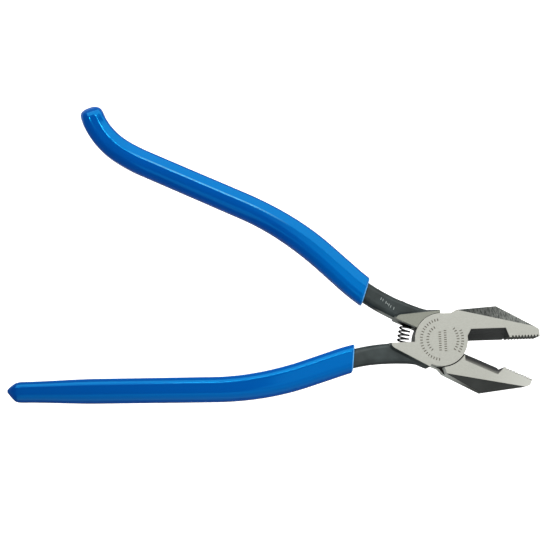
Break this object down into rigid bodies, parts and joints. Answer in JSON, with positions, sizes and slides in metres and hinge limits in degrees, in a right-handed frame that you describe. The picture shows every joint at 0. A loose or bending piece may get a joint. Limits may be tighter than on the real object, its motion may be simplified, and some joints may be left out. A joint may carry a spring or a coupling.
{
  "type": "lineman pliers",
  "caption": "Side-cutting pliers with flat toothed jaws, cutting knives, a riveted lap joint, a return spring, a straight and a hooked dipped handle.",
  "frame": {"origin": "where the pivot axis meets the plane of the head's rear faces, which the tool lies on", "axes": "+X along the fixed half's closed centreline towards the jaw tips, +Y towards the fixed half's jaw, +Z along the pivot axis towards the front face. Rest is the pose that the spring holds open."},
  "size_m": [0.234, 0.1343, 0.016],
  "materials": {
    "forged_steel": "ground faces, dark oxide on the forged necks",
    "rivet_steel": "ground flush",
    "spring_steel": "black oxide",
    "grip_plastic": "glossy dipped vinyl"
  },
  "bodies": {
    "fixed_side": {"fixed_half": "forged_steel", "rivet": "rivet_steel", "return_spring": "spring_steel", "straight_grip": "grip_plastic"},
    "moving_side": {"moving_half": "forged_steel", "hooked_grip": "grip_plastic"}
  },
  "joints": [
    {"name": "jaw_pivot", "type": "hinge", "parent": "fixed_side", "child": "moving_side", "pos_m": [0, 0, 0.008], "axis": [0, 0, 1], "range_deg": [-11, 25.3], "stiffness_Nm_per_rad": 0.6, "deforming": ["return_spring"]}
  ]
}
